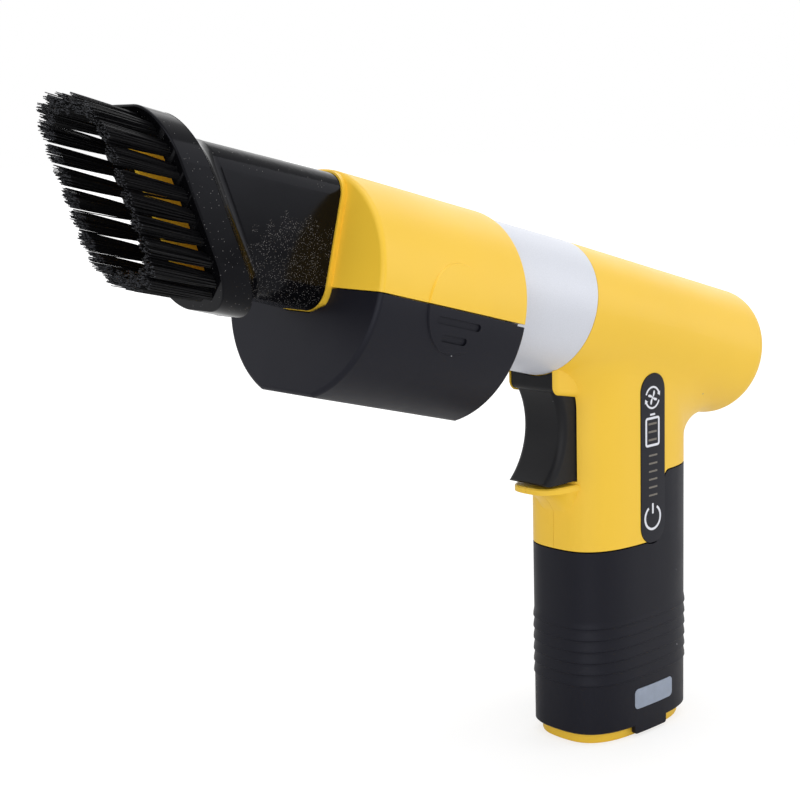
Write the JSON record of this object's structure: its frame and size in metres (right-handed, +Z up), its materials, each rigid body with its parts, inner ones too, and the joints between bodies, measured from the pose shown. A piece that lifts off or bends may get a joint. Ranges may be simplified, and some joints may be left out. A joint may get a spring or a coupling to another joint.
{
  "type": "cordless electric air duster",
  "caption": "Pistol-shaped cordless electric air duster with a barrel on a battery grip, trigger, silver ring, drop-out dust bin and slip-on slanted brush nozzle.",
  "frame": {"origin": "centre of the flat base under the battery grip, on the surface that it stands on", "axes": "+Z up along the grip, nozzle towards -Y, control panel on +X"},
  "size_m": [0.0599, 0.2427, 0.1957],
  "materials": {
    "yellow_plastic": "satin moulded",
    "silver_paint": "satin silver paint",
    "duct_plastic": "moulded",
    "motor_steel": "zinc plated",
    "stator_steel": "laminated",
    "bearing_steel": "ground",
    "switch_plastic": "moulded",
    "panel_plastic": "satin film",
    "board_green": "solder mask",
    "contact_brass": "plated",
    "black_plastic": "fine grained",
    "impeller_plastic": "moulded",
    "magnet_dark": "coated",
    "trigger_plastic": "fine grained",
    "badge_metal": "satin",
    "cell_sleeve": "film sleeve",
    "filter_cloth": "pleated",
    "seal_rubber": "moulded",
    "nozzle_plastic": "polished",
    "bristle_nylon": "filament"
  },
  "bodies": {
    "housing": {"housing_right": "yellow_plastic", "housing_left": "yellow_plastic", "motor_ring": "silver_paint", "fan_duct": "duct_plastic", "motor_can": "motor_steel", "motor_end_cap": "motor_steel", "stator_core": "stator_steel", "motor_bearings": "bearing_steel", "trigger_pin": "bearing_steel", "trigger_spring": "bearing_steel", "trigger_switch": "switch_plastic", "control_panel": "panel_plastic", "panel_board": "board_green", "main_board": "board_green", "battery_contacts": "contact_brass", "rear_grille": "black_plastic", "housing_screws": "bearing_steel"},
    "rotor": {"motor_shaft": "bearing_steel", "impeller": "impeller_plastic", "magnet_rotor": "magnet_dark"},
    "trigger": {"trigger": "trigger_plastic"},
    "battery": {"battery_case": "black_plastic", "battery_cap": "yellow_plastic", "badge_plate": "badge_metal", "battery_cells": "cell_sleeve", "protection_board": "board_green", "pack_terminals": "switch_plastic"},
    "cup": {"cup_housing": "yellow_plastic", "filter_frame": "switch_plastic", "pleated_filter": "filter_cloth", "seal_ring": "seal_rubber"},
    "dust_bin": {"dust_bin": "black_plastic"},
    "brush": {"brush_nozzle": "nozzle_plastic", "bristle_tufts": "bristle_nylon"}
  },
  "joints": [
    {"name": "rotor_spin", "type": "hinge", "parent": "housing", "child": "rotor", "pos_m": [0, -0.02986, 0.13278], "axis": [0, -0.9659, 0.2588], "continuous": true},
    {"name": "trigger_pull", "type": "hinge", "parent": "housing", "child": "trigger", "pos_m": [0, -0.0319, 0.11039], "axis": [1, 0, 0], "range_deg": [0, 8], "stiffness_Nm_per_rad": 0.15, "springref_deg": -14.9, "deforming": ["trigger_spring"]},
    {"name": "battery_slide", "type": "slide", "parent": "housing", "child": "battery", "axis": [0, 0, -1], "range_m": [0, 0.024]},
    {"name": "cup_pull", "type": "slide", "parent": "housing", "child": "cup", "axis": [0, -0.9659, 0.2588], "range_m": [0, 0.025]},
    {"name": "bin_drop", "type": "slide", "parent": "cup", "child": "dust_bin", "axis": [0, -0.2588, -0.9659], "range_m": [0, 0.03]},
    {"name": "brush_pull", "type": "slide", "parent": "cup", "child": "brush", "axis": [0, -0.9659, 0.2588], "range_m": [0, 0.055]}
  ]
}
